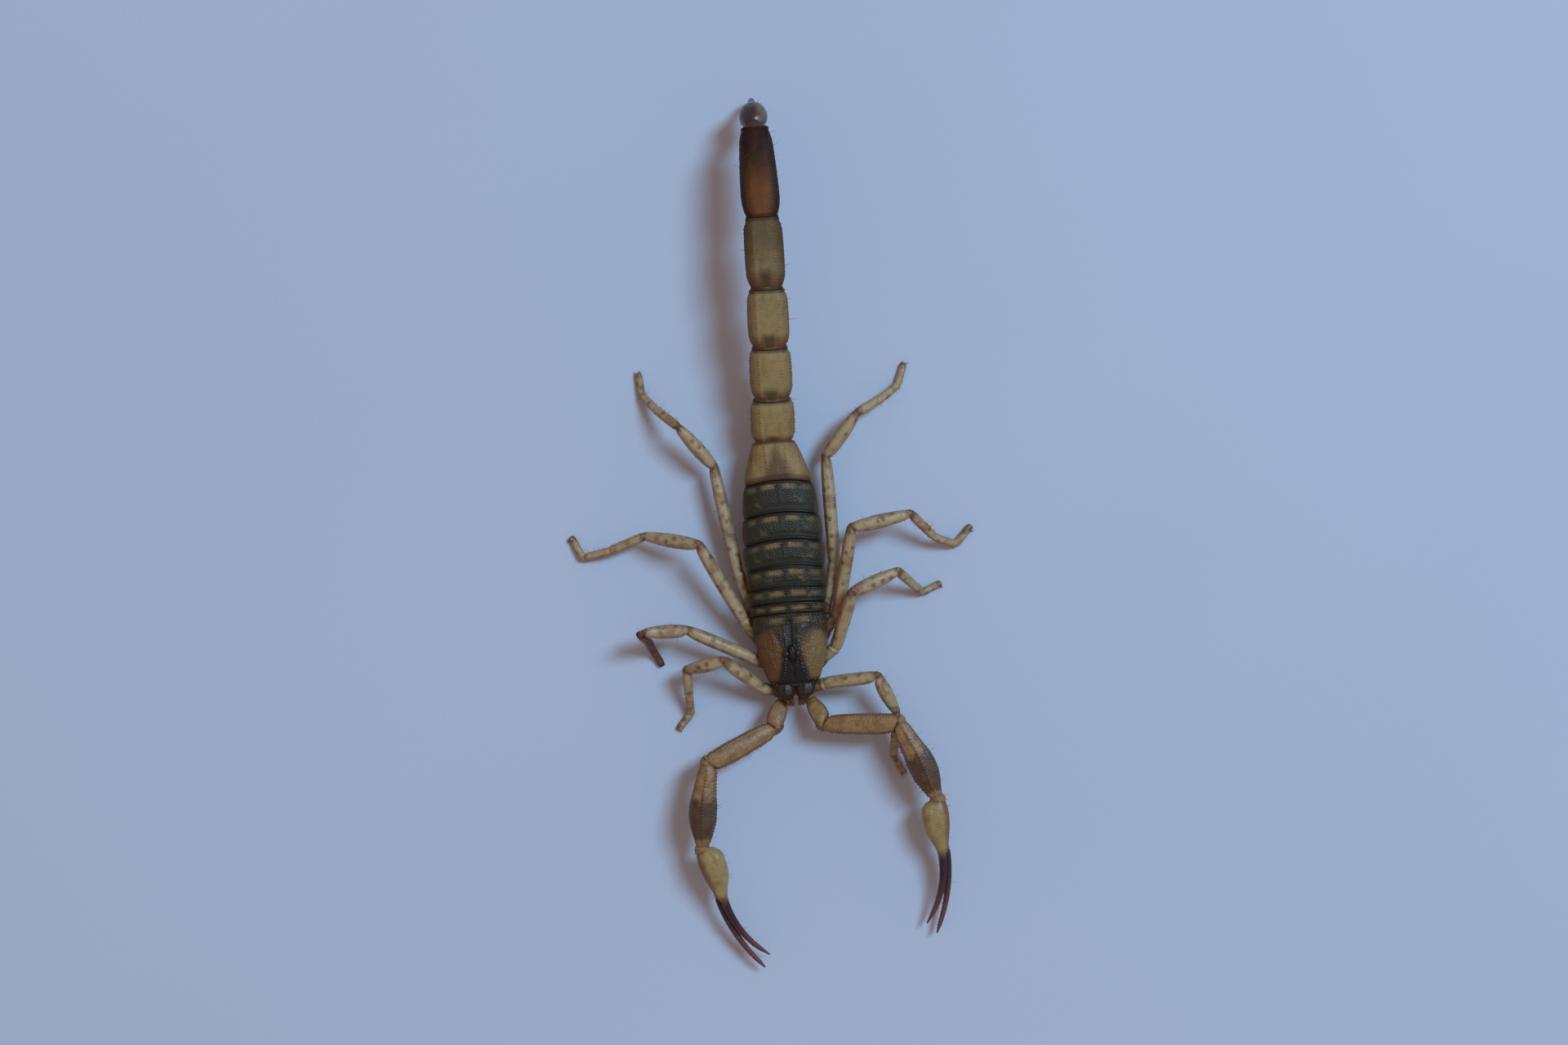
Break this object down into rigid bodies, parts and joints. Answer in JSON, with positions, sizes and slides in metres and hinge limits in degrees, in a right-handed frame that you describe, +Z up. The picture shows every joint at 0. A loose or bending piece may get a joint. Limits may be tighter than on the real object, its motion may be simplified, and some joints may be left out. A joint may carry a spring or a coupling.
{
  "type": "desert scorpion",
  "caption": "Life-size desert scorpion standing still, with slender claws reaching forward and the tail stretched straight out behind.",
  "frame": {"origin": "middle of the bounding box at floor level, under the flat soles of the feet", "axes": "+Z up; -Y towards the head and claws, +Y along the tail; +X to the animal's left"},
  "size_m": [0.0394, 0.0848, 0.01],
  "materials": {
    "head_shell": "satin brown-black shell with orange-brown side lobes",
    "back_shell": "satin grey-brown plates with a row of yellow-orange spots along each rear edge",
    "belly_shell": "smooth pale tan shell",
    "ring_shell": "satin tan shell with a dark middle wedge",
    "tail_shell": "satin tan shell with darker keels and joints",
    "tail_end_shell": "satin red-brown shell, nearly black towards the sting",
    "sting_shell": "glossy brown-black shell",
    "leg_shell": "pale straw-coloured shell with faint brown mottling",
    "arm_shell": "tan shell with red-brown keels and a dark band on the patella",
    "hand_shell": "satin mustard-yellow shell",
    "finger_shell": "dark red-brown shell",
    "jaw_shell": "dark mottled glossy shell",
    "comb_shell": "pale soft-looking shell",
    "eye_lens": "glossy black lens"
  },
  "bodies": {
    "root": {"carapace": "head_shell", "chelicera_left": "jaw_shell", "chelicera_right": "jaw_shell", "claw_left_femur": "arm_shell", "claw_left_hand": "hand_shell", "claw_left_moving_finger": "finger_shell", "claw_left_patella": "arm_shell", "claw_left_trochanter": "arm_shell", "claw_right_femur": "arm_shell", "claw_right_hand": "hand_shell", "claw_right_moving_finger": "finger_shell", "claw_right_patella": "arm_shell", "claw_right_trochanter": "arm_shell", "coxosternum": "belly_shell", "eye_left": "eye_lens", "eye_right": "eye_lens", "leg_1_left_femur": "leg_shell", "leg_1_left_foot": "leg_shell", "leg_1_left_patella": "leg_shell", "leg_1_right_femur": "leg_shell", "leg_1_right_foot": "leg_shell", "leg_1_right_patella": "leg_shell", "leg_2_left_femur": "leg_shell", "leg_2_left_foot": "leg_shell", "leg_2_left_patella": "leg_shell", "leg_2_right_femur": "leg_shell", "leg_2_right_foot": "leg_shell", "leg_2_right_patella": "leg_shell", "leg_3_left_femur": "leg_shell", "leg_3_left_foot": "leg_shell", "leg_3_left_patella": "leg_shell", "leg_3_right_femur": "leg_shell", "leg_3_right_foot": "leg_shell", "leg_3_right_patella": "leg_shell", "leg_4_left_femur": "leg_shell", "leg_4_left_foot": "leg_shell", "leg_4_left_patella": "leg_shell", "leg_4_right_femur": "leg_shell", "leg_4_right_foot": "leg_shell", "leg_4_right_patella": "leg_shell", "mesosoma_7": "ring_shell", "metasoma_1": "tail_shell", "metasoma_2": "tail_shell", "metasoma_3": "tail_shell", "metasoma_4": "tail_shell", "metasoma_5": "tail_end_shell", "pectine_left": "comb_shell", "pectine_right": "comb_shell", "sternite_3": "belly_shell", "sternite_4": "belly_shell", "sternite_5": "belly_shell", "sternite_6": "belly_shell", "telson_bulb": "sting_shell", "telson_sting": "sting_shell", "tergite_1": "back_shell", "tergite_2": "back_shell", "tergite_3": "back_shell", "tergite_4": "back_shell", "tergite_5": "back_shell", "tergite_6": "back_shell"}
  },
  "joints": []
}
